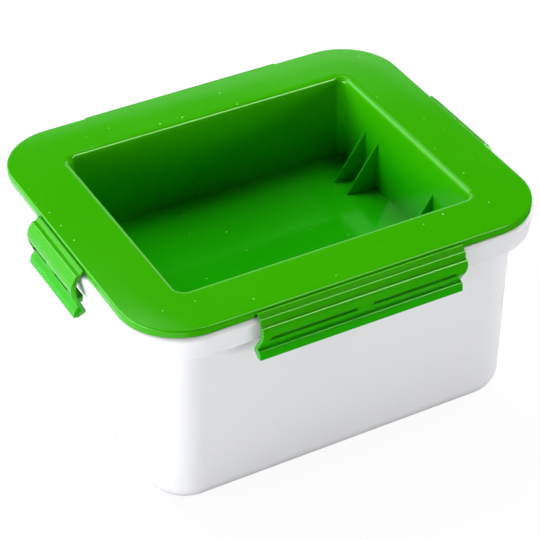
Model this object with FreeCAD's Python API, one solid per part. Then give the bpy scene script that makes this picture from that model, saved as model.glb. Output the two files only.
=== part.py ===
"""Snap-lock tofu press: box, strainer basket, press lid with seal, and four latches.

Units are millimetres. +Z is up and the origin is the centre of the box's underside.
X runs along the long side; the front is the side at -Y.
"""
import FreeCAD, Part
import math
import os

from FreeCAD import Vector

# ---- Lid flange -------------------------------------------------------------
lid_length = 170.0
lid_width = 141.0
lid_corner = 24.4
overall_height = 90.4
flange_thickness = 2.2
flange_edge_round = 1.0
skirt_height = 3.4
skirt_wall = 1.8

# ---- Press well in the lid; its length, width and corner are those of its floor ----
well_floor_length = 120.4
well_floor_width = 93.6
well_depth = 35.8
well_draft = 1.9
well_corner = 2.6
well_wall = 2.2
well_foot_thickness = 2.4
well_mouth_round = 2.0
well_foot_round = 2.0

# ---- Gusset ribs that stand on the well's floor against its two end walls -----
gusset_height = 21.0
gusset_reach = 13.4
gusset_thickness = 1.1
gusset_places = (28.7, 18.8, -22.3, -32.2)

# ---- Seal and its channel under the flange -------------------------------------
seal_width = 3.4
seal_height = 1.1
seal_play = 0.1
seal_edge_cut = 0.35
channel_rib_wall = 1.2
channel_rib_height = 0.9

# ---- Box; its wall is set back from the lid's edge at the rim -------------------
wall_setback_side = 7.1
wall_setback_front = 6.8
wall_corner = 17.5
box_draft = 1.0
box_wall = 2.2
box_floor = 2.4
foot_round = 9.5
foot_recess_margin = 4.0
foot_recess_depth = 0.8
lid_rest_gap = 0.1

# ---- Rim band of the box: hollow from below, with webs across the hollow --------
band_overhang_side = 1.6
band_overhang_front = 1.2
band_corner_growth = 2.0
band_height = 10.3
band_wall = 2.0
band_taper = 1.6
band_top_round = 1.6
band_bottom_round = 1.0
rim_thickness = 2.1
web_thickness = 1.4
web_setback = 1.2
web_places_long = (-64.0, -46.0, 0.0, 46.0, 64.0)
web_places_short = (-45.0, -25.0, 25.0, 45.0)

# ---- Latches ----------------------------------------------------------------
latch_length_long = 85.0
latch_length_short = 39.0
hinge_out = 0.85
hinge_down = 1.65
film_thickness = 0.5
film_gap = 0.05
film_root_out = 1.15
film_head_out = 1.4
film_end_round = 0.2
latch_end_round = 1.2
latch_top_round = 1.0
catch_gap = 0.3
catch_reach = 2.3
catch_height = 3.1
slot_height = 2.4
slot_lift = 1.5
slot_bridge = 6.0
slot_margin = 3.5
notch_clearance = 1.0
notch_depth = 1.2
left_latch_ajar = 9.0

# Flap section: corners as (out from the lid's edge, down from its top face, rounding radius).
# The outside goes over the head, the shoulder ridge, the bulge and the waist to the finger lip.
flap_outside = (
    (2.15, 2.1, 0.6), (2.05, 3.7, 0.2), (4.85, 4.75, 1.3), (5.15, 7.8, 3.0),
    (4.5, 10.6, 2.5), (0.3, 16.9, 0.8), (2.2, 18.7, 0.8), (2.8, 21.1, 0.5),
)
# The inside comes back from the lip round the hook and over the rim band to the head.
flap_inside = (
    (0.6, 22.4, 0.6), (-2.35, 18.9, 1.2), (2.35, 11.3, 2.0), (3.0, 8.6, 2.5),
    (2.5, 5.4, 1.2), (1.15, 3.3, 1.0),
)

# ---- Strainer basket --------------------------------------------------------
basket_clearance = 1.2
basket_draft = 1.0
basket_wall = 1.6
basket_floor = 1.8
basket_corner = 6.0
basket_foot_height = 6.0
basket_foot_radius = 4.0
basket_foot_tip_radius = 3.2
basket_foot_inset = 9.0
basket_top_drop = 8.2
basket_rim_thickness = 1.8
basket_rim_gap = 1.0
basket_rim_corner = 15.0
tab_width = 34.0
tab_height = 6.6
tab_thickness = 1.8
tab_inset = 1.2
tab_round = 3.0
drain_width = 2.2
drain_pitch = 8.0
wall_drain_low = 6.0
wall_drain_length = 46.0
floor_drain_length = 24.0
floor_drain_rows = 3

# ---- Derived heights --------------------------------------------------------
top = overall_height
flange_bottom = top - flange_thickness
flange_middle = top - flange_thickness / 2
skirt_bottom = top - skirt_height
rim_top = skirt_bottom - lid_rest_gap
band_bottom = rim_top - band_height
well_floor = top - well_depth
well_foot = well_floor - well_foot_thickness
basket_rim_top = flange_bottom - basket_top_drop
basket_rim_bottom = basket_rim_top - basket_rim_thickness
basket_base = box_floor + basket_foot_height

# ---- Derived half lengths -----------------------------------------------------
lid_half = (lid_length / 2, lid_width / 2)
wall_half = (lid_half[0] - wall_setback_side, lid_half[1] - wall_setback_front)
band_half = (lid_half[0] + band_overhang_side, lid_half[1] + band_overhang_front)
band_corner = lid_corner + band_corner_growth
overcut = 5.0


def slope(degrees):
    """Sideways growth of a drafted wall per millimetre of height."""
    return math.tan(math.radians(degrees))


def rounded_rectangle(half_x, half_y, radius, z):
    """Closed wire of four lines and four corner arcs, centred on the Z axis."""
    inner_x = half_x - radius
    inner_y = half_y - radius
    diagonal = radius * math.sqrt(0.5)
    edges = []
    for turn in range(4):
        along_x = turn % 2 == 0
        sx = (1, -1, -1, 1)[turn]
        sy = (1, 1, -1, -1)[turn]
        centre = Vector(sx * inner_x, sy * inner_y, z)
        on_x = centre + Vector(sx * radius, 0, 0)
        on_y = centre + Vector(0, sy * radius, 0)
        middle = centre + Vector(sx * diagonal, sy * diagonal, 0)
        start, end = (on_x, on_y) if along_x else (on_y, on_x)
        edges.append(Part.Arc(start, middle, end).toShape())
        following = Vector(-end.x, end.y, z) if along_x else Vector(end.x, -end.y, z)
        edges.append(Part.makeLine(end, following))
    return Part.Wire(edges)


def block(low, high):
    """Solid between two rounded rectangles, each given as (half_x, half_y, radius, z)."""
    return Part.makeLoft([rounded_rectangle(*low), rounded_rectangle(*high)], True, True)


def straight_block(half_x, half_y, radius, z_low, z_high):
    """Rounded block with upright walls."""
    return block((half_x, half_y, radius, z_low), (half_x, half_y, radius, z_high))


def drafted_block(size_at, z_low, z_high):
    """Rounded block whose half lengths and corner radius are given by a function of height."""
    return block((*size_at(z_low), z_low), (*size_at(z_high), z_high))


def grown(half, corner, amount):
    """Half lengths and corner radius after every wall and corner has moved out by one amount."""
    return (half[0] + amount, half[1] + amount, corner + amount)


def edges_at(shape, z):
    """Edges of a shape that lie wholly at one height."""
    return [e for e in shape.Edges if max(abs(e.BoundBox.ZMin - z), abs(e.BoundBox.ZMax - z)) < 1e-4]


def box_at(low, high):
    """Axis-aligned block between two corners."""
    size = [high[i] - low[i] for i in range(3)]
    return Part.makeBox(size[0], size[1], size[2], Vector(*low))


def cornered_face(places, radii):
    """Face of a closed outline whose corners are rounded by tangent arcs; a zero radius stays sharp."""
    count = len(places)
    trims = []
    for i in range(count):
        here = places[i]
        back = (places[i - 1] - here).normalize()
        ahead = (places[(i + 1) % count] - here).normalize()
        half_angle = back.getAngle(ahead) / 2
        trim = radii[i] / math.tan(half_angle)
        bisector = (back + ahead).normalize()
        middle = here + bisector * (radii[i] / math.sin(half_angle) - radii[i])
        trims.append((here + back * trim, middle, here + ahead * trim))
    edges = []
    for i in range(count):
        enter, middle, leave = trims[i]
        if radii[i] > 0:
            edges.append(Part.Arc(enter, middle, leave).toShape())
        following = trims[(i + 1) % count][0]
        if (following - leave).Length > 1e-6:
            edges.append(Part.makeLine(leave, following))
    return Part.Face(Part.Wire(edges))


# ---- Outer box ----------------------------------------------------------------
def box_outer(z):
    """Outer half lengths and corner radius of the box wall at one height."""
    return grown(wall_half, wall_corner, (z - rim_top) * slope(box_draft))


def box_inner(z):
    """Inner half lengths and corner radius of the box wall at one height."""
    return grown(wall_half, wall_corner, (z - rim_top) * slope(box_draft) - box_wall)


def rim_band(inset, z_high):
    """Block of the rim band, narrower at its foot, drawn in by an inset and cut off at a height."""
    lean = band_taper / band_height

    def size_at(z):
        return grown(band_half, band_corner, (z - rim_top) * lean - inset)

    return drafted_block(size_at, band_bottom, z_high)


def band_webs():
    """Upright plates across the band's hollow, on the long and the short sides."""
    low = band_bottom + web_setback
    half = web_thickness / 2
    webs = []
    for x in web_places_long:
        webs.append(box_at((x - half, -lid_width, low), (x + half, lid_width, rim_top)))
    for y in web_places_short:
        webs.append(box_at((-lid_length, y - half, low), (lid_length, y + half, rim_top)))
    return Part.makeCompound(webs)


def make_outer_box():
    """Drafted box with a hollow, webbed rim band that overhangs its wall."""
    shell = drafted_block(box_outer, 0, rim_top)
    shell = shell.makeFillet(foot_round, edges_at(shell, 0))

    band = rim_band(0, rim_top)
    band = band.makeFillet(band_top_round, edges_at(band, rim_top))
    band = band.makeFillet(band_bottom_round, edges_at(band, band_bottom))
    hollow = rim_band(band_wall, rim_top - rim_thickness)
    band = band.cut(hollow.cut(band_webs()))

    cavity = drafted_block(box_inner, box_floor, rim_top + overcut)
    cavity = cavity.makeFillet(foot_round - box_wall, edges_at(cavity, box_floor))
    foot_half_x, foot_half_y, foot_corner = box_outer(0)
    margin = foot_round + foot_recess_margin
    recess = straight_block(foot_half_x - margin, foot_half_y - margin, foot_corner, -overcut, foot_recess_depth)
    return shell.fuse(band).cut(cavity).cut(recess).removeSplitter()


# ---- Press lid ------------------------------------------------------------------
def well_inner(z):
    """Inner half lengths and corner radius of the press well at one height."""
    floor_half = (well_floor_length / 2, well_floor_width / 2)
    return grown(floor_half, well_corner, (z - well_floor) * slope(well_draft))


def well_outer(z):
    """Outer half lengths and corner radius of the press well at one height."""
    half_x, half_y, radius = well_inner(z)
    return grown((half_x, half_y), radius, well_wall)


def ring(half, corner, wall, z_low, z_high):
    """Upright wall ring whose outer face has the given half lengths and corner radius."""
    outer = straight_block(half[0], half[1], corner, z_low, z_high)
    inner = straight_block(*grown(half, corner, -wall), z_low - overcut, z_high + overcut)
    return outer.cut(inner)


def gusset(place, direction):
    """Triangular rib between the well's floor and one end wall, in an XZ plane at one Y."""
    wall_low = well_inner(well_floor)[0]
    wall_high = well_inner(well_floor + gusset_height)[0]
    sunk = well_wall / 2
    toe = wall_low - gusset_reach
    outline = ((toe, well_floor), (wall_high, well_floor + gusset_height),
               (wall_high + sunk, well_floor + gusset_height),
               (wall_low + sunk, well_floor - sunk), (toe, well_floor - sunk), (toe, well_floor))
    near = place - gusset_thickness / 2
    points = [Vector(direction * x, near, z) for x, z in outline]
    return Part.Face(Part.makePolygon(points)).extrude(Vector(0, gusset_thickness, 0))


def around(shape, angle):
    """Copy of a shape drawn for the front side, turned about Z to another side."""
    turned = shape.copy()
    turned.rotate(Vector(0, 0, 0), Vector(0, 0, 1), angle)
    return turned


# Each latch: node name, turn about Z from the front side, half depth of the lid there, length, opening.
latches = (
    ("latch_front", 0, lid_half[1], latch_length_long, 0.0),
    ("latch_right", 90, lid_half[0], latch_length_short, 0.0),
    ("latch_back", 180, lid_half[1], latch_length_long, 0.0),
    ("latch_left", 270, lid_half[0], latch_length_short, left_latch_ajar),
)


def hinge_notch(depth, length):
    """Block that clears the lid's skirt behind a latch on the front side."""
    half = length / 2 + notch_clearance
    return box_at((-half, -depth - overcut, skirt_bottom - overcut), (half, -depth + notch_depth, flange_bottom))


def hinge_lip(depth, length):
    """Lid half of a latch's hinge film on the front side, with a round end towards the latch."""
    lip_top = top - hinge_down + film_thickness / 2
    reach = hinge_out - film_thickness / 2 - film_gap
    half = length / 2
    lip = box_at((-half, -depth - reach, lip_top - film_thickness), (half, -depth + flange_edge_round, lip_top))
    end_edges = [e for e in lip.Edges if e.BoundBox.XLength > half and e.BoundBox.YMax < -depth]
    nearly_half = film_thickness / 2 - film_gap / 5
    return lip.makeFillet(nearly_half, end_edges)


def inner_mouth_edges(lid):
    """Edges of the well's mouth on the lid's top face, without the flange's outer edges."""
    limit_x = lid_half[0] - lid_corner / 2
    limit_y = lid_half[1] - lid_corner / 2
    found = []
    for edge in edges_at(lid, top):
        box = edge.BoundBox
        if max(abs(box.XMin), abs(box.XMax)) < limit_x and max(abs(box.YMin), abs(box.YMax)) < limit_y:
            found.append(edge)
    return found


def make_press_lid():
    """Flange, skirt, press well, gussets, seal channel and hinge lips in one moulding."""
    flange = straight_block(*lid_half, lid_corner, skirt_bottom, top)
    flange = flange.makeFillet(flange_edge_round, edges_at(flange, top))
    under = straight_block(*grown(lid_half, lid_corner, -skirt_wall), skirt_bottom - overcut, flange_bottom)
    flange = flange.cut(under)

    well = drafted_block(well_outer, well_foot, flange_middle)
    well = well.makeFillet(well_foot_round, edges_at(well, well_foot))
    channel_x, channel_y, channel_corner = grown(lid_half, lid_corner, -skirt_wall - seal_width - 2 * seal_play)
    channel_rib = ring((channel_x, channel_y), channel_corner, channel_rib_wall,
                       flange_bottom - channel_rib_height, flange_middle)
    mouth = drafted_block(well_inner, well_floor, top)
    lid = flange.fuse(well).fuse(channel_rib).cut(mouth).removeSplitter()
    lid = lid.makeFillet(well_mouth_round, inner_mouth_edges(lid))

    for place in gusset_places:
        for direction in (1, -1):
            lid = lid.fuse(gusset(place, direction))
    for _, angle, depth, length, _ in latches:
        lid = lid.cut(around(hinge_notch(depth, length), angle))
        lid = lid.fuse(around(hinge_lip(depth, length), angle))
    return lid.removeSplitter()


def make_lid_seal():
    """Soft ring that fills the channel between the skirt and the channel rib."""
    half_x, half_y, corner = grown(lid_half, lid_corner, -skirt_wall - seal_play)
    low = flange_bottom - seal_height
    seal = ring((half_x, half_y), corner, seal_width, low, flange_bottom)
    return seal.makeChamfer(seal_edge_cut, edges_at(seal, low))


# ---- Latches ------------------------------------------------------------------
def latch_section():
    """Face of the wavy flap section in the YZ plane, with its hinge film; +Y is outwards."""
    film_top = hinge_down - film_thickness / 2
    film_low = hinge_down + film_thickness / 2
    outline = ((hinge_out, film_top, 0.0), (film_head_out, film_top, film_end_round), *flap_outside,
               *flap_inside, (film_root_out, film_low, film_end_round), (hinge_out, film_low, 0.0))
    places = [Vector(0, out, top - down) for out, down, _ in outline]
    return cornered_face(places, [radius for _, _, radius in outline])


def flap_window(length):
    """Prism through the flap that rounds its four corners as seen from outside."""
    low = top - max(down for _, down, _ in flap_inside)
    reach = lid_corner
    places = [Vector(0, -reach, low), Vector(length, -reach, low),
              Vector(length, -reach, top), Vector(0, -reach, top)]
    face = cornered_face(places, [latch_end_round, latch_end_round, latch_top_round, latch_top_round])
    return face.extrude(Vector(0, 2 * reach, 0))


def make_latch(angle, depth, length, ajar):
    """Snap latch: flap on a film hinge, with two slots over two catch beads that grip the rim band."""
    flap = latch_section().extrude(Vector(length, 0, 0))
    nose = Part.makeCylinder(film_thickness / 2, length, Vector(0, hinge_out, top - hinge_down), Vector(1, 0, 0))
    flap = flap.fuse(nose)

    catch_top = band_bottom - catch_gap
    slot_low = catch_top + slot_lift
    slot_length = length / 2 - slot_margin - slot_bridge / 2
    starts = (slot_margin, length / 2 + slot_bridge / 2)
    for start in starts:
        flap = flap.fuse(box_at((start, -catch_reach, catch_top - catch_height),
                                (start + slot_length, film_head_out / 2, catch_top)))
    for start in starts:
        flap = flap.cut(box_at((start, 0.0, slot_low), (start + slot_length, lid_corner, slot_low + slot_height)))

    flap = flap.common(flap_window(length)).removeSplitter()
    flap.translate(Vector(-length / 2, 0, 0))
    flap = flap.mirror(Vector(0, 0, 0), Vector(0, 1, 0))
    flap.translate(Vector(0, -depth, 0))
    flap.rotate(Vector(0, -depth - hinge_out, top - hinge_down), Vector(-1, 0, 0), ajar)
    return around(flap, angle)


# ---- Strainer basket -------------------------------------------------------------
def basket_inner(z):
    """Inner half lengths and corner radius of the basket at one height."""
    mouth_x, mouth_y, _ = well_outer(basket_rim_top)
    mouth = (mouth_x + basket_clearance, mouth_y + basket_clearance)
    return grown(mouth, basket_corner, (z - basket_rim_top) * slope(basket_draft))


def basket_outer(z):
    """Outer half lengths and corner radius of the basket at one height."""
    half_x, half_y, radius = basket_inner(z)
    return grown((half_x, half_y), radius, basket_wall)


def places_along(half_span, pitch):
    """Evenly spaced places, symmetric about zero, that fit within a half span."""
    steps = int(half_span // pitch)
    return [i * pitch for i in range(-steps, steps + 1)]


def lift_tab(side, rim_half_x):
    """Upright finger tab on one end of the basket's rim."""
    outer_face = side * (rim_half_x - tab_inset)
    inner_face = outer_face - side * tab_thickness
    tab = box_at((min(outer_face, inner_face), -tab_width / 2, basket_rim_bottom),
                 (max(outer_face, inner_face), tab_width / 2, basket_rim_top + tab_height))
    corners = [e for e in tab.Edges if e.BoundBox.YLength < 1e-6 and e.BoundBox.ZMin > basket_rim_top]
    return tab.makeFillet(tab_round, corners)


def basket_feet():
    """Four tapered feet that hold the basket off the box floor."""
    half_x, half_y, _ = basket_outer(basket_base)
    feet = []
    for sx in (1, -1):
        for sy in (1, -1):
            place = Vector(sx * (half_x - basket_foot_inset), sy * (half_y - basket_foot_inset), box_floor)
            feet.append(Part.makeCone(basket_foot_tip_radius, basket_foot_radius,
                                      basket_foot_height + basket_floor / 2, place))
    return feet


def drain_slots():
    """Blocks that cut the slots in the basket's walls and floor."""
    floor_top = basket_base + basket_floor
    half_x, half_y, _ = basket_inner(floor_top)
    half_slot = drain_width / 2
    low = floor_top + wall_drain_low
    high = low + wall_drain_length
    slots = []
    for x in places_along(half_x - basket_corner - drain_width, drain_pitch):
        slots.append(box_at((x - half_slot, -lid_width, low), (x + half_slot, lid_width, high)))
    for y in places_along(half_y - basket_corner - drain_width, drain_pitch):
        slots.append(box_at((-lid_length, y - half_slot, low), (lid_length, y + half_slot, high)))
    row_pitch = 2 * (half_y - basket_foot_inset) / floor_drain_rows
    for x in places_along(half_x - basket_foot_inset - 2 * basket_foot_radius, drain_pitch):
        for row in range(floor_drain_rows):
            y = (row - (floor_drain_rows - 1) / 2) * row_pitch
            slots.append(box_at((x - half_slot, y - floor_drain_length / 2, basket_base - overcut),
                                (x + half_slot, y + floor_drain_length / 2, floor_top + overcut)))
    return slots


def make_strainer_basket():
    """Slotted basket on four feet, with a rim that centres it in the box and two lift tabs."""
    body = drafted_block(basket_outer, basket_base, basket_rim_top)
    inside_x, inside_y, _ = box_inner(basket_rim_top)
    rim_half = (inside_x - basket_rim_gap, inside_y - basket_rim_gap)
    basket = body.fuse(straight_block(*rim_half, basket_rim_corner, basket_rim_bottom, basket_rim_top))
    for piece in [lift_tab(1, rim_half[0]), lift_tab(-1, rim_half[0]), *basket_feet()]:
        basket = basket.fuse(piece)
    cavity = drafted_block(basket_inner, basket_base + basket_floor, basket_rim_top + overcut)
    return basket.cut(cavity).cut(drain_slots()).removeSplitter()


def save(name, shape):
    """Write one node as a STEP file."""
    shape.exportStep(f"parts/{name}.step")
    print(name, "solids", len(shape.Solids), "valid", shape.isValid(), "volume", round(shape.Volume, 1))


def main():
    """Build every node and write it to parts/."""
    os.makedirs("parts", exist_ok=True)
    save("outer_box", make_outer_box())
    save("strainer_basket", make_strainer_basket())
    save("press_lid", make_press_lid())
    save("lid_seal", make_lid_seal())
    for name, angle, depth, length, ajar in latches:
        save(name, make_latch(angle, depth, length, ajar))


main()
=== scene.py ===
"""Looks of a snap-lock tofu press: glossy green lid and latches on a satin white box.

The classes hold their sizes in millimetres; a mesh is made in metres, in the frame of the CAD model.
+Z is up, X runs along the long side, and the front is the side at -Y.
"""
import logging
import math
from dataclasses import dataclass
from enum import Enum

import bmesh
import bpy
import numpy as np
from mathutils import Matrix, Vector


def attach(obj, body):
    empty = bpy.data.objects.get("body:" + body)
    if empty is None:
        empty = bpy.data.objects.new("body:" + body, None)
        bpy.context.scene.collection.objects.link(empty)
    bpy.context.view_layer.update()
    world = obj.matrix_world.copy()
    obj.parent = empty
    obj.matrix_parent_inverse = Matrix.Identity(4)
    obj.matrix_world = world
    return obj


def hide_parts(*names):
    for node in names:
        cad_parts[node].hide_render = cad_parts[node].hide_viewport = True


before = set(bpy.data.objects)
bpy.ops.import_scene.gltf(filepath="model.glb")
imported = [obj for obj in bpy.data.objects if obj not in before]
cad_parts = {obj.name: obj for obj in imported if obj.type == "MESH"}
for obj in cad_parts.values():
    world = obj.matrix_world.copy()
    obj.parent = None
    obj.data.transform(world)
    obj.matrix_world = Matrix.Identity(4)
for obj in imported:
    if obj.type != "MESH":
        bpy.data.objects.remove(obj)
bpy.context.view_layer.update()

MM = 0.001
MERGE_METRES = 2e-6  # points of a mesh that are closer become one
SHARP_DEGREES = 35.0  # faces that meet at a larger turn are shaded with an edge between them
BEVEL_DEGREES = 38.0  # faces that meet at a larger turn get a rounded edge on a bevelled piece
BEVEL_SEGMENTS = 2
RING_DIGITS = 9  # decimals of the values that place a ring's columns
COLUMN_DIGITS = 6  # decimals that tell two columns of a latch apart
ARC_STEP_DEGREES = 9.0  # largest turn from point to point on a fillet
PEEL_SHARE_OF_SCALE = 0.12  # scale of the orange peel, as a share of the grain's
GRAIN_SHARE_OF_HEIGHT = 0.25  # height of the grain, as a share of the orange peel's
LEAST_UPWARD = 0.97  # upward part of a normal above which dust stays on a surface
log = logging.getLogger("tofu_press")
Face = tuple[int, ...]
Triple = tuple[float, float, float]


class Slot(Enum):
    """Names of the record's material slots for white and green plastic; no piece here reads them."""

    WHITE = "white_plastic"
    GREEN = "green_plastic"


class Side(Enum):
    """Sides of the box, each with its turn about Z from the front in degrees."""

    FRONT = 0
    RIGHT = 90
    BACK = 180
    LEFT = 270


# ---- Surfaces worked out on grids ----
@dataclass
class Surface:
    """Points in millimetres with the faces that join them."""

    points: np.ndarray
    faces: list[Face]


def join(surfaces: list[Surface]) -> Surface:
    """Put several surfaces into one, whose face indices count on from piece to piece."""
    points: list[np.ndarray] = []
    faces: list[Face] = []
    start = 0
    for surface in surfaces:
        points.append(surface.points)
        faces.extend(tuple(i + start for i in face) for face in surface.faces)
        start += len(surface.points)
    return Surface(np.concatenate(points), faces)


def turned(points: np.ndarray, side: Side) -> np.ndarray:
    """Turn points of the front to another side: x' = x cos a - y sin a, y' = x sin a + y cos a."""
    angle = math.radians(side.value)
    c, s = round(math.cos(angle)), round(math.sin(angle))
    return points @ np.array([[c, -s, 0], [s, c, 0], [0, 0, 1]], float).T


def grid_faces(rows: int, columns: int) -> np.ndarray:
    """Quads, as an array (faces, 4), of a grid of rows whose last column joins the first."""
    row = np.arange(rows - 1)[:, None] * columns
    here = np.arange(columns)[None, :]
    ahead = (here + 1) % columns
    quads = np.stack([row + here, row + ahead, row + columns + ahead, row + columns + here], -1)
    return quads.reshape(-1, 4)


def capped_faces(rows: int, columns: int) -> list[Face]:
    """Quads of such a grid with one flat face on its first row and one on its last."""
    faces = [tuple(face) for face in grid_faces(rows, columns).tolist()]
    return [*faces, tuple(range(columns - 1, -1, -1)), tuple(range((rows - 1) * columns, rows * columns))]


@dataclass(frozen=True)
class RingColumns:
    """Columns of a rounded-rectangle ring that stay in step on every ring of a wall.

    A point is centre * (half length - radius) + unit * radius + shift, so a column on a straight
    side keeps its place along that side and a column on a corner keeps its angle.
    """

    centre: np.ndarray
    unit: np.ndarray
    shift: np.ndarray
    side: np.ndarray
    along: np.ndarray

    @classmethod
    def build(cls, places_x: tuple[float, ...], places_y: tuple[float, ...],
              arc_steps: int) -> "RingColumns":
        """Lay the columns of one ring out, anticlockwise from the right side.

        Args:
            places_x: places of the columns along the front and back sides.
            places_y: places of the columns along the left and right sides.
            arc_steps: spans on each corner arc.
        """
        parts = []
        for quarter in range(4):
            angle = quarter * math.pi / 2
            normal = np.array([math.cos(angle), math.sin(angle)])
            tangent = np.array([-normal[1], normal[0]])
            places = np.array(sorted(places_y if quarter % 2 == 0 else places_x))
            count = len(places)
            straight = np.repeat(normal[None], count, 0)
            parts.append((straight, straight, places[:, None] * tangent, np.full(count, quarter), places))
            theta = angle + np.linspace(0, math.pi / 2, arc_steps + 1)
            count = len(theta)
            arc = np.stack([np.cos(theta), np.sin(theta)], -1)
            middle = np.repeat((normal + tangent)[None], count, 0)
            parts.append((middle, arc, np.zeros((count, 2)), np.full(count, -1), np.zeros(count)))
        return cls(*(np.round(np.concatenate(part), RING_DIGITS) for part in zip(*parts)))

    def loft(self, rings: np.ndarray) -> Surface:
        """Join rings into one skin.

        Args:
            rings: array (rings, columns or 1, 4) of half length x, half length y, corner radius, z.

        Returns:
            The skin, with points on the formula of the class and a flat face on the first and last ring.
        """
        rings = np.broadcast_to(rings, (rings.shape[0], len(self.side), 4))
        half, radius = rings[..., :2], rings[..., 2:3]
        flat = self.centre * (half - radius) + self.unit * radius + self.shift
        points = np.concatenate([flat, rings[..., 3:4]], -1).reshape(-1, 3)
        return Surface(points, capped_faces(rings.shape[0], len(self.side)))


def ring(half: tuple[float, float], corner: float, grow: float, z: float) -> list[float]:
    """One ring whose walls and corner have moved out by one amount."""
    return [half[0] + grow, half[1] + grow, corner + grow, z]


def rounded_corner(centre: tuple[float, float], radius: float, start: float, end: float,
                   steps: int) -> list[tuple[float, float]]:
    """Places on an arc in a wall's profile.

    Args:
        centre: growth and height of the arc's centre.
        radius: radius of the arc.
        start: first angle in degrees, from straight outwards.
        end: last angle in degrees.
        steps: spans on the arc.

    Returns:
        Growth and height of each place.
    """
    angles = np.radians(np.linspace(start, end, steps + 1))
    return [(centre[0] + radius * math.cos(a), centre[1] + radius * math.sin(a)) for a in angles]


def filleted_outline(corners: list[Triple]) -> np.ndarray:
    """Outline whose corners are rounded by tangent arcs.

    Args:
        corners: (a, b, radius) of each corner, in order round the outline; no radius is zero.

    Returns:
        Array (points, 2). An arc's centre lies on the bisector, radius / sin(half angle) from the corner.
    """
    places = np.array([corner[:2] for corner in corners])
    out: list[np.ndarray] = []
    for i, (_, _, radius) in enumerate(corners):
        here = places[i]
        back = places[i - 1] - here
        ahead = places[(i + 1) % len(places)] - here
        back, ahead = back / np.linalg.norm(back), ahead / np.linalg.norm(ahead)
        half = math.acos(np.clip(back @ ahead, -1, 1)) / 2
        bisector = (back + ahead) / np.linalg.norm(back + ahead)
        centre = here + bisector * radius / math.sin(half)
        trim = radius / math.tan(half)
        first, last = here + back * trim - centre, here + ahead * trim - centre
        turn = math.pi - 2 * half
        steps = max(2, math.ceil(math.degrees(turn) / ARC_STEP_DEGREES))
        t = np.linspace(0, 1, steps + 1)[:, None]
        arc = (np.sin((1 - t) * turn) * first + np.sin(t * turn) * last) / math.sin(turn)
        out.append(centre + arc)
    return np.concatenate(out)


def beveled_box(low: Triple, high: Triple, cut: float) -> Surface:
    """Block whose upright, top and bottom edges are cut at 45 degrees.

    Args:
        low: lowest corner.
        high: highest corner.
        cut: width of the cut.

    Returns:
        Closed surface of four eight-cornered rings.
    """
    x0, y0, z0 = low
    x1, y1, z1 = high

    def octagon(inset: float, z: float) -> np.ndarray:
        a, b, c, d = x0 + inset, x1 - inset, y0 + inset, y1 - inset
        flat = [(b, c + cut), (b, d - cut), (b - cut, d), (a + cut, d),
                (a, d - cut), (a, c + cut), (a + cut, c), (b - cut, c)]
        return np.array([(x, y, z) for x, y in flat])

    rings = [octagon(cut, z0), octagon(0.0, z0 + cut), octagon(0.0, z1 - cut), octagon(cut, z1)]
    return Surface(np.concatenate(rings), capped_faces(len(rings), len(rings[0])))


def add_object(name: str, data: bpy.types.ID) -> bpy.types.Object:
    """Make an object of some data and link it into the scene."""
    made = bpy.data.objects.new(name, data)
    bpy.context.scene.collection.objects.link(made)
    return made


def make_piece(name: str, surface: Surface, material: bpy.types.Material, body: str,
               nodes: tuple[str, ...], bevel: float = 0.0) -> bpy.types.Object:
    """Make a Blender object from a surface and seat it on its body.

    Args:
        name: name of the piece.
        surface: its points, in millimetres, and faces.
        material: finish.
        body: body that it rides on.
        nodes: nodes of the frame that it stands for.
        bevel: width in millimetres of a rounded edge wherever two faces meet sharply.

    Returns:
        The object, at the origin, with its place in its mesh.
    """
    mesh = bpy.data.meshes.new(name)
    mesh.from_pydata((surface.points * MM).tolist(), [], surface.faces)
    mesh.validate()
    work = bmesh.new()
    work.from_mesh(mesh)
    bmesh.ops.remove_doubles(work, verts=work.verts, dist=MERGE_METRES)
    bmesh.ops.recalc_face_normals(work, faces=work.faces)
    work.to_mesh(mesh)
    work.free()
    mesh.shade_smooth()
    if not bevel:
        mesh.set_sharp_from_angle(angle=math.radians(SHARP_DEGREES))
    piece = add_object(name, mesh)
    if bevel:
        cut = piece.modifiers.new("rounded_edges", "BEVEL")
        cut.width = bevel * MM
        cut.segments = BEVEL_SEGMENTS
        cut.limit_method = "ANGLE"
        cut.angle_limit = math.radians(BEVEL_DEGREES)
    mesh.materials.append(material)
    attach(piece, body)
    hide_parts(*nodes)
    log.info("piece %s: %d faces on %s", name, len(mesh.polygons), body)
    return piece


# ---- Shader nodes ----
class NodeTree:
    """Adds nodes to a tree and joins their sockets."""

    def __init__(self, tree: bpy.types.NodeTree) -> None:
        """Take a tree and empty it."""
        self.tree = tree
        tree.nodes.clear()

    def add(self, kind: str, values: dict[str | int, object] | None = None,
            **settings: object) -> bpy.types.Node:
        """Add a node and give it back.

        Args:
            kind: its type, without the ShaderNode in front.
            values: values of its input sockets.
            settings: its properties, which are set first.
        """
        made = self.tree.nodes.new(f"ShaderNode{kind}")
        for key, value in settings.items():
            setattr(made, key, value)
        for key, value in (values or {}).items():
            made.inputs[key].default_value = value
        return made

    def join(self, *links: tuple[bpy.types.Node, str | int, bpy.types.Node, str | int]) -> None:
        """Link an output of one node to an input of another, each by its name or index."""
        for start, output, end, entry in links:
            self.tree.links.new(start.outputs[output], end.inputs[entry])


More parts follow.
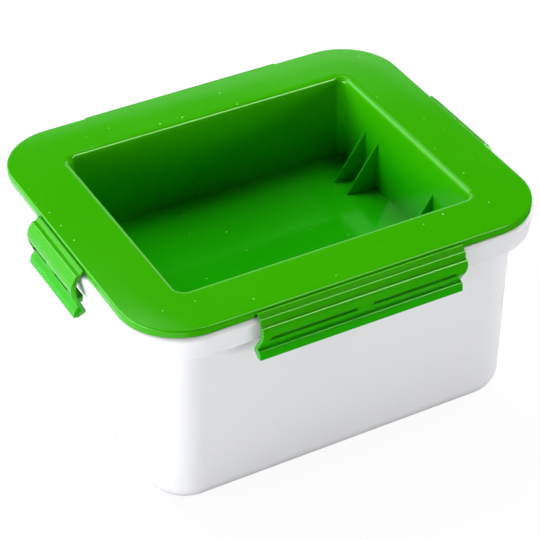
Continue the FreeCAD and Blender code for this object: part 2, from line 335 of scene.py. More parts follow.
class ShaderGroup(NodeTree):
    """A node group with float sockets and a Vector input, built once and placed in each finish."""

    def __init__(self, name: str, inputs: tuple[str, ...], outputs: tuple[str, ...]) -> None:
        """Open a group whose float inputs and outputs have these names."""
        super().__init__(bpy.data.node_groups.new(name, "ShaderNodeTree"))
        sockets = self.tree.interface
        sockets.new_socket("Vector", in_out="INPUT", socket_type="NodeSocketVector")
        for in_out, labels in (("INPUT", inputs), ("OUTPUT", outputs)):
            for label in labels:
                sockets.new_socket(label, in_out=in_out, socket_type="NodeSocketFloat")
        self.source = self.tree.nodes.new("NodeGroupInput")
        self.sink = self.tree.nodes.new("NodeGroupOutput")


def build_grain_group() -> bpy.types.NodeTree:
    """Moulded surface: broad flow waves and a fine grain.

    Returns:
        Group with outputs Tone, a slow change over the surface about 0.5, and Height, a fine relief.
    """
    group = ShaderGroup("moulded_grain", ("Wave Scale", "Grain Scale"), ("Tone", "Height"))
    wave, grain, peel = (group.add("TexNoise", {"Detail": detail}) for detail in (3.0, 2.0, 1.0))
    coarser = group.add("Math", {1: PEEL_SHARE_OF_SCALE}, operation="MULTIPLY")
    mix = group.add("Math", {1: GRAIN_SHARE_OF_HEIGHT}, operation="MULTIPLY_ADD")
    source, sink = group.source, group.sink
    group.join(
        *((source, "Vector", noise, "Vector") for noise in (wave, grain, peel)),
        (source, "Wave Scale", wave, "Scale"),
        (source, "Grain Scale", grain, "Scale"),
        (source, "Grain Scale", coarser, 0),
        (coarser, 0, peel, "Scale"),
        (grain, "Fac", mix, 0),
        (peel, "Fac", mix, 2),
        (wave, "Fac", sink, "Tone"),
        (mix, 0, sink, "Height"),
    )
    return group.tree


def build_dust_group() -> bpy.types.NodeTree:
    """Sparse specks of dust: cells of a flat Voronoi pattern, of which few hold a small round speck.

    Returns:
        Group with the output Mask, 1 on a speck of a surface that faces up and 0 elsewhere.
    """
    group = ShaderGroup("dust_specks", ("Scale", "Size", "Share", "Upward"), ("Mask",))
    cells = group.add("TexVoronoi", voronoi_dimensions="2D")
    split = group.add("SeparateColor")
    size, both, lying = (group.add("Math", operation="MULTIPLY") for _ in range(3))
    near, few = (group.add("Math", operation="LESS_THAN") for _ in range(2))
    level = group.add("Math", {1: LEAST_UPWARD}, operation="GREATER_THAN")
    source, sink = group.source, group.sink
    group.join(
        (source, "Vector", cells, "Vector"),
        (source, "Scale", cells, "Scale"),
        (cells, "Color", split, "Color"),
        (split, "Green", size, 0),
        (source, "Size", size, 1),
        (cells, "Distance", near, 0),
        (size, 0, near, 1),
        (split, "Red", few, 0),
        (source, "Share", few, 1),
        (near, 0, both, 0),
        (few, 0, both, 1),
        (source, "Upward", level, 0),
        (both, 0, lying, 0),
        (level, 0, lying, 1),
        (lying, 0, sink, "Mask"),
    )
    return group.tree


def new_material(name: str) -> tuple[bpy.types.Material, NodeTree]:
    """Make a material and give it with its emptied tree."""
    material = bpy.data.materials.new(name)
    material.use_nodes = True
    return material, NodeTree(material.node_tree)


# ---- Finishes ----
@dataclass(frozen=True)
class Groups:
    """The shared shader groups."""

    grain: bpy.types.NodeTree
    dust: bpy.types.NodeTree


@dataclass(frozen=True)
class MouldedPlastic:
    """Moulded plastic: colours are linear, scales are per metre, heights and distances in metres."""

    name: str
    deep: Triple
    light: Triple
    roughness: tuple[float, float]
    bump: float
    subsurface: float
    subsurface_radius: Triple = (1.0, 1.0, 1.0)
    sheen: Triple = (1.0, 1.0, 1.0)
    wave_scale: float = 18.0
    grain_scale: float = 900.0
    dust: Triple = (0.5, 0.5, 0.5)
    dust_share: float = 0.0
    dust_scale: float = 60.0
    dust_size: float = 0.1
    # painted shade: from the first tint height down to the second the colour is multiplied toward this
    # tint, so low parts look like the deeper green of shade
    painted_shade_tint: Triple = (1.0, 1.0, 1.0)
    shade_tint_heights: tuple[float, float] = (0.0885, 0.067)
    tones: tuple[float, float] = (0.3, 0.7)
    relief: float = 0.0002
    ior: float = 1.49
    subsurface_depth: float = 0.004

    def build(self, groups: Groups) -> bpy.types.Material:
        """Make the material, on Object coordinates, with the shared shader groups.

        Tone drives colour and roughness, grain drives the bump, and the colour takes on painted shade,
        the low tint, between the two tint heights: lower down it loses its red, as the shaded well does.
        """
        material, nodes = new_material(self.name)
        place = nodes.add("TexCoord")
        grain = nodes.add("Group", {"Wave Scale": self.wave_scale, "Grain Scale": self.grain_scale},
                          node_tree=groups.grain)
        specks = {"Scale": self.dust_scale, "Size": self.dust_size, "Share": self.dust_share}
        dust = nodes.add("Group", specks, node_tree=groups.dust)
        facing, height = nodes.add("SeparateXYZ"), nodes.add("SeparateXYZ")
        # painted shade: sunk is the share of the painted shade tint, 0 at and above the first height and 1
        # at and below the second
        sunk = nodes.add("MapRange", dict(zip(("From Min", "From Max"), self.shade_tint_heights)))
        colour = nodes.add("Mix", {"A": (*self.deep, 1), "B": (*self.light, 1)}, data_type="RGBA")
        shade_tinted = nodes.add("Mix", {"B": (*self.painted_shade_tint, 1)}, data_type="RGBA", blend_type="MULTIPLY")
        specked = nodes.add("Mix", {"B": (*self.dust, 1)}, data_type="RGBA")
        rough = nodes.add("MapRange", dict(zip(("From Min", "From Max", "To Min", "To Max"),
                                               (*self.tones, *self.roughness))))
        bump = nodes.add("Bump", {"Strength": self.bump, "Distance": self.relief})
        shader = nodes.add("BsdfPrincipled", {
            "IOR": self.ior, "Specular Tint": (*self.sheen, 1), "Subsurface Weight": self.subsurface,
            "Subsurface Radius": self.subsurface_radius, "Subsurface Scale": self.subsurface_depth,
        })
        result = nodes.add("OutputMaterial")
        nodes.join(
            (place, "Object", grain, "Vector"),
            (place, "Object", dust, "Vector"),
            (place, "Normal", facing, "Vector"),
            (facing, "Z", dust, "Upward"),
            (grain, "Tone", colour, "Factor"),
            (grain, "Tone", rough, "Value"),
            (grain, "Height", bump, "Height"),
            (place, "Object", height, "Vector"),
            (height, "Z", sunk, "Value"),
            (sunk, "Result", shade_tinted, "Factor"),
            (colour, "Result", shade_tinted, "A"),
            (shade_tinted, "Result", specked, "A"),
            (dust, "Mask", specked, "Factor"),
            (specked, "Result", shader, "Base Color"),
            (rough, "Result", shader, "Roughness"),
            (bump, "Normal", shader, "Normal"),
            (shader, "BSDF", result, "Surface"),
        )
        return material


# painted shade: the low tint takes most of the red out of the colour low down, in the well and on the
# latches' lower lips, for the look of the shaded well
GREEN_GLOSS = MouldedPlastic(
    "green_gloss", deep=(0.026, 0.30, 0.0003), light=(0.036, 0.345, 0.0005), roughness=(0.10, 0.16),
    bump=0.05, subsurface=0.05, subsurface_radius=(0.4, 1.0, 0.2), sheen=(0.6, 1.0, 0.45),
    dust=(0.35, 0.75, 0.2), dust_share=0.42, dust_scale=95.0, dust_size=0.035, painted_shade_tint=(0.28, 1.06, 1.0),
)
WHITE_SATIN = MouldedPlastic(
    "white_satin", deep=(0.70, 0.703, 0.725), light=(0.75, 0.753, 0.775), roughness=(0.30, 0.38), bump=0.06,
    subsurface=0.08, wave_scale=9.0,
)
BASKET_SATIN = MouldedPlastic(
    "basket_satin", deep=(0.014, 0.29, 0.001), light=(0.022, 0.33, 0.002), roughness=(0.24, 0.34),
    bump=0.08, subsurface=0.1, subsurface_radius=(0.4, 1.0, 0.2), sheen=(0.6, 1.0, 0.45),
)
SOFT_SILICONE = MouldedPlastic(
    "soft_silicone", deep=(0.60, 0.62, 0.60), light=(0.68, 0.70, 0.68), roughness=(0.5, 0.6), bump=0.12,
    subsurface=0.2, grain_scale=1500.0,
)


# ---- Latch ----
@dataclass(frozen=True)
class Seat:
    """Where a latch sits: half length of the lid across a side, that side, and how far it is open."""

    depth: float
    side: Side
    open_degrees: float = 0.0


@dataclass(frozen=True)
class FlapShape:
    """Section and outline of a snap latch: out from the lid's edge, down from the lid's top face.

    Corners are (out, down, radius); bead_round is the share of the bead's half height that is rounded.
    """

    top: float = 90.4
    hinge_out: float = 0.85
    hinge_down: float = 1.65
    bead: float = 0.78
    bead_round: float = 0.99
    outside: tuple[Triple, ...] = (
        (1.2, 0.87, 0.3), (1.5, 1.4, 0.3), (1.9, 2.6, 0.1), (3.0, 2.95, 1.1), (3.3, 5.5, 0.1),
        (4.95, 5.95, 1.9), (5.15, 8.6, 4.0), (4.5, 11.0, 6.0), (0.5, 17.2, 0.2), (2.35, 17.6, 1.2),
        (2.8, 21.1, 0.5),
    )
    inside: tuple[Triple, ...] = (
        (0.6, 22.4, 0.6), (-2.35, 18.9, 1.2), (2.35, 11.3, 2.0), (3.0, 8.6, 2.5),
        (2.5, 5.4, 1.2), (1.15, 3.3, 1.0),
    )
    heel_round: float = 0.1
    catch_down: float = 14.1
    catch_height: float = 3.1
    catch_reach: float = 2.3
    catch_sunk: float = 0.7
    slot_lift: float = 1.5
    slot_height: float = 2.4
    slot_bridge: float = 6.0
    slot_margin: float = 3.5
    end_round: float = 1.2
    edge: float = 0.45
    end_steps: int = 6
    slot_steps: int = 8

    def outline(self) -> np.ndarray:
        """Section as (out, down), with a point wherever a slot's top or bottom meets a wall."""
        root = self.hinge_out - self.bead
        high, low = self.hinge_down - self.bead, self.hinge_down + self.bead
        nose = [(root, down, self.bead * self.bead_round) for down in (low, high)]
        heel = (self.inside[-1][0], low, self.heel_round)
        points = filleted_outline([*nose, *self.outside, *self.inside, heel])
        for down in self.slot_downs():
            ahead = np.roll(points, -1, 0)
            crossed = np.nonzero((points[:, 1] - down) * (ahead[:, 1] - down) < 0)[0]
            start, end = points[crossed], ahead[crossed]
            share = ((down - start[:, 1]) / (end[:, 1] - start[:, 1]))[:, None]
            points = np.insert(points, crossed + 1, start * (1 - share) + end * share, 0)
        return points

    def slot_downs(self) -> tuple[float, float]:
        """Depth below the lid's top face of a slot's upper and lower edge."""
        low = self.catch_down - self.slot_lift
        return low - self.slot_height, low

    def slot_spans(self, length: float) -> list[tuple[float, float]]:
        """Start and end along the latch of its two slots, measured from its middle."""
        near, far = self.slot_bridge / 2, length / 2 - self.slot_margin
        return [(-far, -near), (near, far)]

    def columns(self, length: float) -> np.ndarray:
        """Places along the latch of its sections: close together where an end is rounded."""
        half = length / 2
        ends = self.end_round * (1 - np.cos(np.linspace(0, math.pi / 2, self.end_steps + 1)))
        spans = [np.linspace(start, end, self.slot_steps + 1) for start, end in self.slot_spans(length)]
        return np.unique(np.round(np.concatenate([-half + ends, half - ends, *spans]), COLUMN_DIGITS))

    def place(self, along: np.ndarray, out: np.ndarray, down: np.ndarray, seat: Seat) -> np.ndarray:
        """Map section coordinates to the frame.

        Args:
            along: place along the latch.
            out: distance out from the lid's edge.
            down: distance down from the lid's top face.
            seat: where the latch sits.

        Returns:
            Points: the section turns about the hinge, then goes to its side.
        """
        angle = math.radians(seat.open_degrees)
        a, b = out - self.hinge_out, down - self.hinge_down
        out = self.hinge_out + a * math.cos(angle) + b * math.sin(angle)
        down = self.hinge_down + b * math.cos(angle) - a * math.sin(angle)
        flat = np.stack([along, -seat.depth - out, self.top - down], -1).reshape(-1, 3)
        return turned(flat, seat.side)

    def flap(self, length: float, seat: Seat) -> Surface:
        """Skin of the flap with its two through slots.

        Args:
            length: length of the latch.
            seat: where it sits.

        Returns:
            The section carried along the latch. Near an end, down is held to the rounded outline:
            lowest - r + sqrt(r^2 - (r - d)^2) at a distance d from the end.
        """
        section = self.outline()
        x = self.columns(length)
        near = np.clip(self.end_round - (length / 2 - np.abs(x)), 0, None)
        limit = section[:, 1].max() - self.end_round + np.sqrt(self.end_round**2 - near**2)
        out = np.broadcast_to(section[None, :, 0], (len(x), len(section)))
        down = np.minimum(section[None, :, 1], limit[:, None])
        along = np.broadcast_to(x[:, None], out.shape)
        points = self.place(along, out, down, seat)

        rows = len(section)
        upper, lower = self.slot_downs()
        outer_top, inner_top = np.nonzero(np.isclose(section[:, 1], upper))[0]
        outer_low, inner_low = np.nonzero(np.isclose(section[:, 1], lower))[0]
        quads = grid_faces(len(x), rows)
        column, row = quads[:, 0] // rows, quads[:, 0] % rows
        middle = (x[column] + x[np.minimum(column + 1, len(x) - 1)]) / 2
        in_span = np.zeros(len(quads), bool)
        for start, end in self.slot_spans(length):
            in_span |= (middle > start) & (middle < end)
        in_rows = ((row >= outer_top) & (row < outer_low)) | ((row >= inner_low) & (row < inner_top))
        faces: list[Face] = [tuple(face) for face in quads[~(in_span & in_rows)].tolist()]

        for start, end in self.slot_spans(length):
            first, last = int(np.argmin(abs(x - start))), int(np.argmin(abs(x - end)))
            for c in range(first, last):
                here, ahead = c * rows, (c + 1) * rows
                faces.append((here + outer_top, ahead + outer_top, ahead + inner_top, here + inner_top))
                faces.append((here + outer_low, ahead + outer_low, ahead + inner_low, here + inner_low))
            loop = [*range(outer_top, outer_low + 1), *range(inner_low, inner_top + 1)]
            faces.extend(tuple(end_column * rows + i for i in loop) for end_column in (first, last))
        faces.extend(tuple(end_column * rows + i for i in range(rows)) for end_column in (0, len(x) - 1))
        return Surface(points, faces)

    def beads(self, length: float, seat: Seat) -> Surface:
        """The two catch beads inside the flap, as blocks under its slots."""
        blocks = []
        for start, end in self.slot_spans(length):
            block = beveled_box((start, -self.catch_reach, self.catch_down),
                                (end, self.catch_sunk, self.catch_down + self.catch_height), self.edge / 2)
            x, out, down = block.points.T
            blocks.append(Surface(self.place(x, out, down, seat), block.faces))
        return join(blocks)


# The short latches have one smooth hump, a softer lip and rounder ends.
SHORT_FLAP = FlapShape(end_round=2.0, outside=(
    (1.2, 0.87, 0.3), (1.5, 1.4, 0.3), (1.9, 2.6, 0.1), (3.5, 2.95, 1.3), (4.85, 6.0, 4.0),
    (5.02, 8.6, 4.0), (4.4, 11.0, 6.0), (1.3, 16.4, 0.5), (2.45, 18.0, 1.0), (2.8, 21.1, 0.8),
))


@dataclass(frozen=True)
class Latch:
    """One snap latch of the lid."""

    node: str
    body: str
    length: float
    seat: Seat
    shape: FlapShape = FlapShape()

    def build(self, finish: bpy.types.Material) -> bpy.types.Object:
        """Make the latch and seat it on its body."""
        surface = join([self.shape.flap(self.length, self.seat), self.shape.beads(self.length, self.seat)])
        return make_piece(f"{self.node}_flap", surface, finish, self.body, (self.node,),
                          bevel=self.shape.edge)


# ---- Lid ----
@dataclass(frozen=True)
class PressLid:
    """Green lid: flange, skirt with hinge notches, press well and gusset ribs.

    The flange starts mouth_lead mouth radii out from the well, and its edge turns down from
    edge_start_degrees, where the slope of its crown ends.
    """

    half: tuple[float, float] = (85.0, 70.5)
    corner: float = 24.4
    top: float = 90.4
    flange: float = 2.2
    edge_round: float = 0.8
    edge_start_degrees: float = 87.0
    crown_drop: float = 0.2
    crown_reach: float = 12.0
    skirt: float = 3.4
    skirt_wall: float = 1.8
    fine_round: float = 0.2
    well_half: tuple[float, float] = (60.2, 46.8)
    well_depth: float = 35.8
    well_draft: float = 1.9
    well_corner: float = 2.6
    well_wall: float = 2.2
    well_foot: float = 2.4
    mouth_round: float = 2.5
    mouth_lead: float = 1.4
    foot_round: float = 2.0
    rib_inset: float = 5.4
    rib_wall: float = 1.2
    rib_height: float = 0.9
    gusset_height: float = 21.0
    gusset_reach: float = 13.4
    gusset_thickness: float = 1.1
    gusset_sunk: float = 1.0
    gusset_places: tuple[float, ...] = (28.7, 18.8, -22.3, -32.2)
    notch_depth: float = 1.2
    notch_clearance: float = 1.0
    notch_step: float = 0.02
    long_latch: float = 85.0
    short_latch: float = 39.0
    corner_steps: int = 16
    mouth_steps: int = 6
    edge_steps: int = 6
    foot_steps: int = 5
    crest_steps: int = 8
    well_rings: int = 6
    flange_rings: int = 6

    def notch_halves(self) -> tuple[float, float]:
        """Half lengths of the hinge notches on the long and on the short sides."""
        return (self.long_latch / 2 + self.notch_clearance, self.short_latch / 2 + self.notch_clearance)

    def columns(self) -> RingColumns:
        """Columns of the lid's rings, with a close pair at each end of a hinge notch."""
        places = []
        for half in self.notch_halves():
            ends = (half - self.notch_step, half, half + self.notch_step)
            places.append((0.0, *ends, *(-end for end in ends)))
        return RingColumns.build(places[0], places[1], self.corner_steps)

    def outer_wall(self, columns: RingColumns) -> list[np.ndarray]:
        """Rings from the flange's top edge down the skirt and up its inside.

        Args:
            columns: the columns of the lid's rings.

        Returns:
            Rings that step in by the notch's depth under the flange where a column lies in a notch.
        """
        long_half, short_half = self.notch_halves()
        on_long = (columns.side % 2 == 1) & (np.abs(columns.along) < long_half - self.notch_step / 2)
        on_short = (columns.side % 2 == 0) & (np.abs(columns.along) < short_half - self.notch_step / 2)
        notched = ((on_long | on_short) & (columns.side >= 0)).astype(float)
        low, under = self.top - self.skirt, self.top - self.flange
        fine, step = self.fine_round, self.notch_depth
        first, last = (0, under + fine), (-self.skirt_wall + fine, low)
        plain = [first, (0, under), (0, low + fine), (-fine, low), last]
        cut = [first, (-fine, under), (-step, under), (-step, low), last]
        rings = []
        for (grow_a, z_a), (grow_b, z_b) in zip(plain, cut):
            grow = grow_a + (grow_b - grow_a) * notched
            z = z_a + (z_b - z_a) * notched
            rings.append(np.stack([self.half[0] + grow, self.half[1] + grow, self.corner + grow, z], -1))
        return rings

    def well_ring(self, z: float, grow: float) -> list[float]:
        """Ring of the press well's inner wall at one height, moved out by one amount."""
        drafted = (z - (self.top - self.well_depth)) * math.tan(math.radians(self.well_draft))
        return ring(self.well_half, self.well_corner, drafted + grow, z)

    def skin(self) -> Surface:
        """Closed skin of flange, skirt and well.

        Returns:
            Rings from the middle of the well's floor up its wall, over the mouth's round, out over the
            flange, down the skirt, back under the flange and down the outside of the well to its foot.
        """
        floor = self.top - self.well_depth
        under = self.top - self.flange
        foot = floor - self.well_foot
        columns = self.columns()
        mouth = self.mouth_round
        inner = [self.well_ring(z, 0) for z in np.linspace(floor, self.top - 2 * mouth, self.well_rings)]
        for grow, z in rounded_corner((mouth, self.top - mouth), mouth, 180, 90, self.mouth_steps):
            inner.append([*self.well_ring(self.top, grow)[:3], z])
        inner.append([*self.well_ring(self.top, self.mouth_lead * mouth)[:3], self.top])
        edge_share = 1 - self.edge_round / self.crown_reach
        for share in np.linspace(0, edge_share, self.flange_rings):
            grow, z = (share - 1) * self.crown_reach, self.top - self.crown_drop * share**2
            inner.append(ring(self.half, self.corner, grow, z))
        centre = (-self.edge_round, self.top - self.crown_drop * edge_share**2 - self.edge_round)
        for grow, z in rounded_corner(centre, self.edge_round, self.edge_start_degrees, 0, self.edge_steps):
            inner.append(ring(self.half, self.corner, grow, z))
        outer = [ring(self.half, self.corner, -self.skirt_wall, self.top - self.skirt + self.fine_round),
                 ring(self.half, self.corner, -self.skirt_wall, under)]
        rib_low = under - self.rib_height
        for grow, z in ((0, under), (0, rib_low), (-self.rib_wall, rib_low), (-self.rib_wall, under)):
            outer.append(ring(self.half, self.corner, grow - self.rib_inset, z))
        outer.append(self.well_ring(under, self.well_wall))
        outer.append(self.well_ring(foot + 2 * self.foot_round, self.well_wall))
        centre = (self.well_wall - self.foot_round, foot + self.foot_round)
        for grow, z in rounded_corner(centre, self.foot_round, 0, -90, self.foot_steps):
            outer.append([*self.well_ring(foot, grow)[:3], z])
        above, below = ([np.broadcast_to(np.array(entry), (len(columns.side), 4)) for entry in entries]
                        for entries in (inner, outer))
        return columns.loft(np.stack([*above, *self.outer_wall(columns), *below]))

    def gusset(self, place: float, direction: int) -> Surface:
        """One triangular rib, as a plate with a rounded crest that is sunk into floor and wall.

        Args:
            place: its place along Y.
            direction: +1 for the right end wall, -1 for the left.

        Returns:
            The plate: a section across the crest is carried from the toe to the top of the rib.
        """
        floor = self.top - self.well_depth
        slope = math.tan(math.radians(self.well_draft))
        wall, sunk = self.well_half[0], self.gusset_sunk
        toe = np.array([wall - self.gusset_reach, floor])
        peak = np.array([wall + self.gusset_height * slope, floor + self.gusset_height])
        along = (peak - toe) / np.linalg.norm(peak - toe)
        normal = np.array([-along[1], along[0]])
        half = self.gusset_thickness / 2
        angles = np.radians(np.linspace(0, 180, self.crest_steps + 1))
        across = half * np.cos(angles)
        lift = half * (np.sin(angles) - 1)
        corner = np.array([wall + sunk, floor - sunk])
        crests = [toe - along * sunk, toe, (toe + peak) / 2, peak, peak + along * sunk]
        feet = [toe + (-sunk, -sunk), toe + (0, -sunk), corner, peak + (sunk, -sunk), peak + (sunk, 0)]
        rows = []
        for station, foot in zip(crests, feet):
            crest = station + normal * lift[:, None]
            x = np.concatenate([[foot[0]], crest[:, 0], [foot[0]]])
            z = np.concatenate([[foot[1]], crest[:, 1], [foot[1]]])
            y = np.concatenate([[half], across, [-half]])
            rows.append(np.stack([direction * x, place + y, z], -1))
        count = len(rows[0])
        faces = [tuple(face) for face in grid_faces(len(rows), count).tolist()]
        faces.append(tuple(range(count)))
        faces.append(tuple((len(rows) - 1) * count + i for i in range(count)))
        return Surface(np.concatenate(rows), faces)

    def build(self, finish: bpy.types.Material) -> bpy.types.Object:
        """Make the lid with its ribs and seat it on its body."""
        ribs = [self.gusset(place, direction) for place in self.gusset_places for direction in (1, -1)]
        return make_piece("press_lid_moulding", join([self.skin(), *ribs]), finish, "box",
                          ("press_lid",))


# ---- Box ----
@dataclass(frozen=True)
class OuterBox:
    """White box with a hollow rim band.

    A lead is the run that a wall's first or last ring keeps from the round next to it, and web_gap is
    the run from a web's end to the outer face of the band.
    """

    wall_half: tuple[float, float] = (77.9, 63.7)
    wall_corner: float = 17.5
    rim_top: float = 86.9
    draft: float = 1.0
    wall: float = 2.2
    floor: float = 2.4
    foot_round: float = 9.5
    foot_lead: float = 4.0
    rim_lead: float = 2.0
    floor_lead: float = 3.0
    recess_margin: float = 4.0
    recess_depth: float = 0.8
    band_half: tuple[float, float] = (86.6, 71.7)
    band_corner: float = 26.4
    band_height: float = 10.3
    band_wall: float = 2.0
    band_taper: float = 1.6
    band_top_round: float = 1.6
    band_bottom_round: float = 1.0
    band_leads: tuple[float, float] = (2.5, 2.6)
    rim_thickness: float = 2.1
    rim_edge: float = 0.3
    web_thickness: float = 1.4
    web_setback: float = 1.2
    web_gap: float = 2.6
    corner_steps: int = 18
    foot_steps: int = 12
    band_bottom_steps: int = 8
    band_top_steps: int = 7
    rim_steps: int = 4
    floor_steps: int = 9
    wall_rings: int = 6
    band_rings: int = 3
    inner_rings: int = 5
    columns_long: tuple[float, ...] = (-40.0, 0.0, 40.0)
    columns_short: tuple[float, ...] = (-25.0, 0.0, 25.0)
    web_places_long: tuple[float, ...] = (-64.0, -46.0, 0.0, 46.0, 64.0)
    web_places_short: tuple[float, ...] = (-45.0, -25.0, 25.0, 45.0)

    def wall_ring(self, z: float, grow: float) -> list[float]:
        """Ring of the box's outer wall at one height, moved out by one amount."""
        drafted = (z - self.rim_top) * math.tan(math.radians(self.draft))
        return ring(self.wall_half, self.wall_corner, drafted + grow, z)

    def band_ring(self, z: float, grow: float) -> list[float]:
        """Ring of the band's outer face at one height, moved out by one amount."""
        tapered = (z - self.rim_top) * self.band_taper / self.band_height
        return ring(self.band_half, self.band_corner, tapered + grow, z)

    def skin(self) -> Surface:
        """Closed skin of the box.

        Returns:
            Rings from the recess under the foot round the foot edge and up the wall, into the band's
            hollow, down inside the band and up outside it, over the rim and down the inner wall.
        """
        columns = RingColumns.build(self.columns_long, self.columns_short, self.corner_steps)
        inset = self.foot_round + self.recess_margin
        rings = [[*self.wall_ring(0, -inset)[:3], self.recess_depth], self.wall_ring(0, -inset)]
        centre = (-self.foot_round, self.foot_round)
        for grow, z in rounded_corner(centre, self.foot_round, -90, 0, self.foot_steps):
            rings.append(self.wall_ring(z, grow))
        hollow_top = self.rim_top - self.rim_thickness
        band_low = self.rim_top - self.band_height
        for z in np.linspace(self.foot_round + self.foot_lead, hollow_top, self.wall_rings):
            rings.append(self.wall_ring(z, 0))
        rings.append(self.band_ring(hollow_top, -self.band_wall))
        bottom = self.band_bottom_round
        rings.append(self.band_ring(band_low + bottom, -self.band_wall))
        centre = (-bottom, band_low + bottom)
        for grow, z in rounded_corner(centre, bottom, -180, 0, self.band_bottom_steps):
            rings.append([*self.band_ring(band_low + bottom, grow)[:3], z])
        lead_low, lead_high = self.band_leads
        for z in np.linspace(band_low + lead_low, self.rim_top - lead_high, self.band_rings):
            rings.append(self.band_ring(z, 0))
        top = self.band_top_round
        for grow, z in rounded_corner((-top, self.rim_top - top), top, 0, 90, self.band_top_steps):
            rings.append([*self.band_ring(self.rim_top - top, grow)[:3], z])
        edge = self.rim_edge
        rings.append(self.wall_ring(self.rim_top, -self.wall + 2 * edge))
        centre = (-self.wall + edge, self.rim_top - edge)
        for grow, z in rounded_corner(centre, edge, 90, 180, self.rim_steps):
            rings.append([*self.wall_ring(self.rim_top, grow)[:3], z])
        inner_round = self.foot_round - self.wall
        low = self.floor + inner_round
        for z in np.linspace(self.rim_top - self.rim_lead, low + self.floor_lead, self.inner_rings):
            rings.append(self.wall_ring(z, -self.wall))
        centre = (-self.wall - inner_round, low)
        for grow, z in rounded_corner(centre, inner_round, 0, -90, self.floor_steps):
            rings.append(self.wall_ring(z, grow))
        return columns.loft(np.array(rings)[:, None, :])

    def webs(self) -> Surface:
        """Plates across the band's hollow, on all four sides."""
        low = self.rim_top - self.band_height + self.web_setback
        high = self.rim_top - self.rim_thickness / 2
        half = self.web_thickness / 2
        plates = []
        for across, places in ((1, self.web_places_long), (0, self.web_places_short)):
            inner, outer = self.wall_half[across] - self.wall / 2, self.band_half[across] - self.web_gap
            for place in places:
                for sign in (1, -1):
                    sides = [(place - half, place + half)]
                    sides.insert(across, sorted((sign * inner, sign * outer)))
                    start, end = zip(*sides, (low, high))
                    plates.append(beveled_box(start, end, self.rim_edge))
        return join(plates)

    def build(self, finish: bpy.types.Material) -> bpy.types.Object:
        """Make the box and seat it on its body."""
        return make_piece("outer_box_moulding", join([self.skin(), self.webs()]), finish,
                          "box", ("outer_box",))


# ---- Studio ----
@dataclass(frozen=True)
class StudioCamera:
    """Camera: place in metres, axes as unit vectors, lens and square sensor in millimetres."""

    place: Triple = (-0.3278, -0.6017, 0.5617)
    right: Triple = (0.87689, -0.48069, -0.0011)
    down: Triple = (-0.28981, -0.52686, -0.79902)
    forward: Triple = (0.3835, 0.70097, -0.6013)
    lens: float = 145.863
    sensor: float = 36.0
    clip_start: float = 0.01

    def build(self) -> None:
        """Make the camera and give it to the scene."""
        data = bpy.data.cameras.new("studio_camera")
        data.lens = self.lens
        data.sensor_width = self.sensor
        data.clip_start = self.clip_start
        camera = add_object("studio_camera", data)
        axes = Matrix((self.right, [-v for v in self.down], [-v for v in self.forward])).transposed()
        camera.matrix_world = Matrix.Translation(self.place) @ axes.to_4x4()
        bpy.context.scene.camera = camera


@dataclass(frozen=True)
class SoftLamp:
    """Rectangular lamp: mirrored says if gloss shows it, lights says if it lights matte surfaces."""

    name: str
    place: Triple
    size: tuple[float, float]
    watts: float
    mirrored: bool = True
    lights: bool = True
    aim: Triple = (0.0, 0.0, 0.05)

    def build(self) -> None:
        """Make the lamp."""
        data = bpy.data.lights.new(self.name, "AREA")
        data.shape = "RECTANGLE"
        data.size, data.size_y = self.size
        data.energy = self.watts
        lamp = add_object(self.name, data)
        aimed = (Vector(self.aim) - Vector(self.place)).to_track_quat("-Z", "Y")
        lamp.matrix_world = Matrix.Translation(self.place) @ aimed.to_matrix().to_4x4()
        lamp.visible_glossy = self.mirrored
        lamp.visible_diffuse = self.lights


def stage_plane(name: str, corners: tuple[Triple, ...], material: bpy.types.Material) -> bpy.types.Object:
    """Flat stage piece, which isn't part of the object, with its four corners in metres."""
    mesh = bpy.data.meshes.new(name)
    mesh.from_pydata(corners, [], [(0, 1, 2, 3)])
    mesh.materials.append(material)
    piece = add_object(name, mesh)
    return piece


@dataclass(frozen=True)
class MirrorCard:
    """Glowing card that only gloss shows: four corners in metres, and the strength of its glow."""

    name: str
    corners: tuple[Triple, ...]
    glow: float

    def build(self) -> None:
        """Make the card."""
        material, nodes = new_material(self.name)
        white = nodes.add("Emission", {"Strength": self.glow})
        result = nodes.add("OutputMaterial")
        nodes.join((white, "Emission", result, "Surface"))
        piece = stage_plane(self.name, self.corners, material)
        piece.visible_camera = False
        piece.visible_diffuse = False
        piece.visible_shadow = False


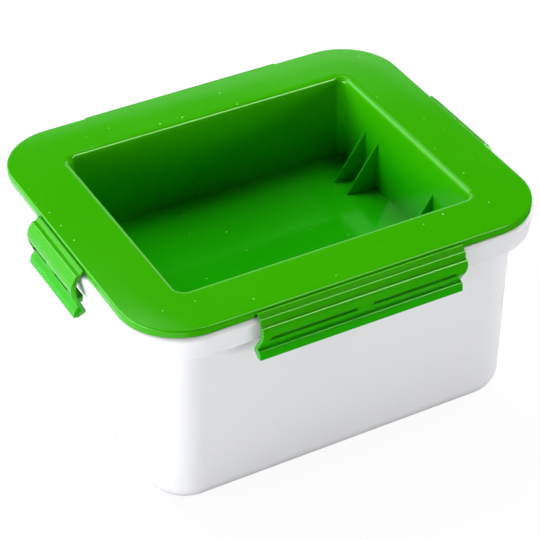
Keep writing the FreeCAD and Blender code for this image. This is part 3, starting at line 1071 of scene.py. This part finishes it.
@dataclass(frozen=True)
class Studio:
    """Pale floor, even white surroundings, soft lamps and cards for the gloss."""

    floor_half: float = 3.0
    floor_grey: float = 0.85
    floor_glow: float = 0.93
    lamps: tuple[SoftLamp, ...] = (
        SoftLamp("back_left_key", (-0.811, 0.811, 0.853), (1.0, 1.0), 11.3),
        SoftLamp("back_key", (-0.573, 0.993, 0.853), (1.0, 1.0), 10.0, mirrored=False),
        SoftLamp("back_high", (0.0, 0.700, 1.262), (0.8, 0.8), 2.8),
        SoftLamp("top_right", (0.418, 0.418, 1.319), (0.6, 0.6), 9.5, mirrored=False),
        SoftLamp("right_low", (1.331, 0.0, 0.483), (0.9, 0.3), 16.5, mirrored=False),
        SoftLamp("left_low", (-1.379, 0.0, 0.293), (0.9, 0.3), 13.5),
        SoftLamp("front_left_low", (-1.308, -0.476, 0.196), (0.9, 0.3), 5.5),
        SoftLamp("front_left", (-0.952, -0.952, 0.436), (0.9, 0.3), 2.4, mirrored=False),
        SoftLamp("front_right_low", (0.697, -1.208, 0.172), (0.9, 0.3), 6.6, mirrored=False),
        SoftLamp("front_right_strip", (0.609, -0.609, 1.153), (0.25, 1.0), 11.0, lights=False),
    )
    cards: tuple[MirrorCard, ...] = (
        MirrorCard("back_card", ((0.05, 1.05, 0.0), (1.25, 0.55, 0.0), (1.25, 0.55, 0.65),
                                 (0.05, 1.05, 0.65)), glow=1.0),
        MirrorCard("left_card", ((-1.6, -0.25, 0.001), (-0.10, -0.25, 0.001), (-0.10, 1.6, 0.001),
                                 (-1.6, 1.6, 0.001)), glow=1.0),
        MirrorCard("back_left_card", ((-1.415, 0.425, 0.0), (-0.425, 1.415, 0.0), (-0.425, 1.415, 0.85),
                                      (-1.415, 0.425, 0.85)), glow=1.3),
    )

    def world(self) -> None:
        """Surroundings that are white to the camera and dark to everything else."""
        world = bpy.data.worlds.new("studio_world")
        bpy.context.scene.world = world
        world.use_nodes = True
        nodes = NodeTree(world.node_tree)
        path = nodes.add("LightPath")
        background = nodes.add("Background", {"Color": (1, 1, 1, 1)})
        result = nodes.add("OutputWorld")
        nodes.join((path, "Is Camera Ray", background, "Strength"),
                   (background, "Background", result, "Surface"))

    def floor_finish(self) -> bpy.types.Material:
        """Pale matte surface that is mostly a white glow where the camera sees it."""
        material, nodes = new_material("studio_floor")
        grey = self.floor_grey
        matte = nodes.add("BsdfDiffuse", {"Color": (grey, grey, grey, 1)})
        white = nodes.add("Emission", {"Strength": 1.0})
        path = nodes.add("LightPath")
        amount = nodes.add("Math", {1: self.floor_glow}, operation="MULTIPLY")
        mix = nodes.add("MixShader")
        result = nodes.add("OutputMaterial")
        nodes.join(
            (path, "Is Camera Ray", amount, 0),
            (amount, 0, mix, 0),
            (matte, "BSDF", mix, 1),
            (white, "Emission", mix, 2),
            (mix, 0, result, "Surface"),
        )
        return material

    def build(self) -> None:
        """Make the world, the floor, the cards and the lamps."""
        self.world()
        h = self.floor_half
        corners = ((-h, -h, 0), (h, -h, 0), (h, h, 0), (-h, h, 0))
        floor = stage_plane("studio_floor", corners, self.floor_finish())
        floor.visible_glossy = False
        for fitting in (*self.cards, *self.lamps):
            fitting.build()


def dress_node(node: str, finish: bpy.types.Material) -> None:
    """Give a node that is carried over from the CAD model its finish."""
    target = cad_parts[node]
    target.data.materials.clear()
    target.data.materials.append(finish)
    log.info("node %s dressed in %s", node, finish.name)


def main() -> None:
    """Build the studio, the finishes and every piece."""
    logging.basicConfig(level=logging.INFO, format="%(name)s: %(message)s")
    StudioCamera().build()
    Studio().build()
    groups = Groups(build_grain_group(), build_dust_group())
    green, white = GREEN_GLOSS.build(groups), WHITE_SATIN.build(groups)

    lid = PressLid()
    latches = (
        Latch("latch_front", "front_latch", lid.long_latch, Seat(lid.half[1], Side.FRONT)),
        Latch("latch_right", "right_latch", lid.short_latch, Seat(lid.half[0], Side.RIGHT), SHORT_FLAP),
        Latch("latch_back", "back_latch", lid.long_latch, Seat(lid.half[1], Side.BACK)),
        Latch("latch_left", "left_latch", lid.short_latch,
              Seat(lid.half[0], Side.LEFT, open_degrees=9.0), SHORT_FLAP),
    )
    OuterBox().build(white)
    lid.build(green)
    for latch in latches:
        latch.build(green)
    dress_node("strainer_basket", BASKET_SATIN.build(groups))
    dress_node("lid_seal", SOFT_SILICONE.build(groups))

    bpy.context.scene.view_settings.view_transform = "Standard"


if __name__ == "__main__":
    main()
